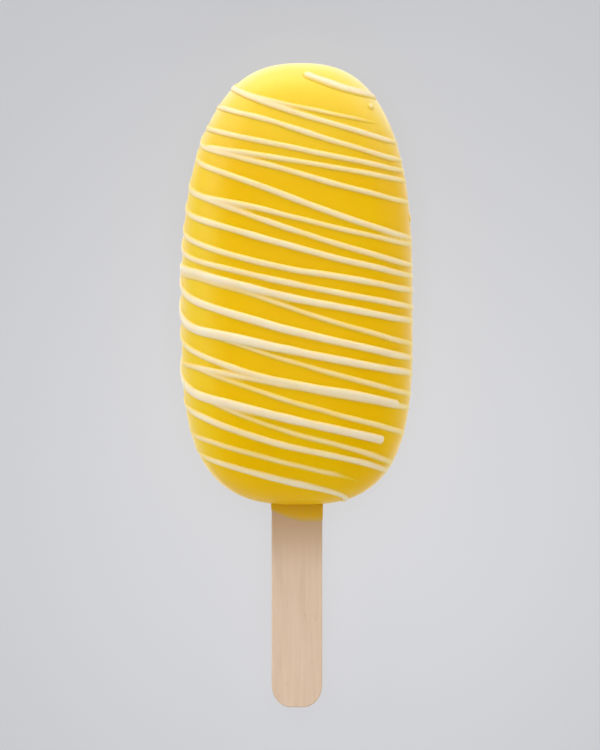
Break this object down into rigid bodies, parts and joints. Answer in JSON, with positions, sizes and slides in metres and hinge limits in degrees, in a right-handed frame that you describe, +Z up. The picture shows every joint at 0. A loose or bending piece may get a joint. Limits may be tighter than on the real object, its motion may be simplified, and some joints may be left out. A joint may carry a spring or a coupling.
{
  "type": "cakesicle",
  "caption": "Cake bar in a smooth yellow coating, crossed by raised cream drizzle, on a flat wooden stick; lies on its flat back.",
  "frame": {"origin": "on the flat back, under the stick's axis, where the bar is widest", "axes": "+Y along the bar to its domed end, the stick along -Y; +Z up, out of the rounded front; +X to the right as seen from the front"},
  "size_m": [0.0471, 0.127, 0.0237],
  "materials": {
    "coating": "smooth satin yellow confectionery coating",
    "drizzle": "satin cream drizzle, slightly translucent",
    "stick_wood": "bare pale birch, fine straight grain"
  },
  "bodies": {
    "root": {"coated_cake": "coating", "stick": "stick_wood"}
  },
  "joints": []
}
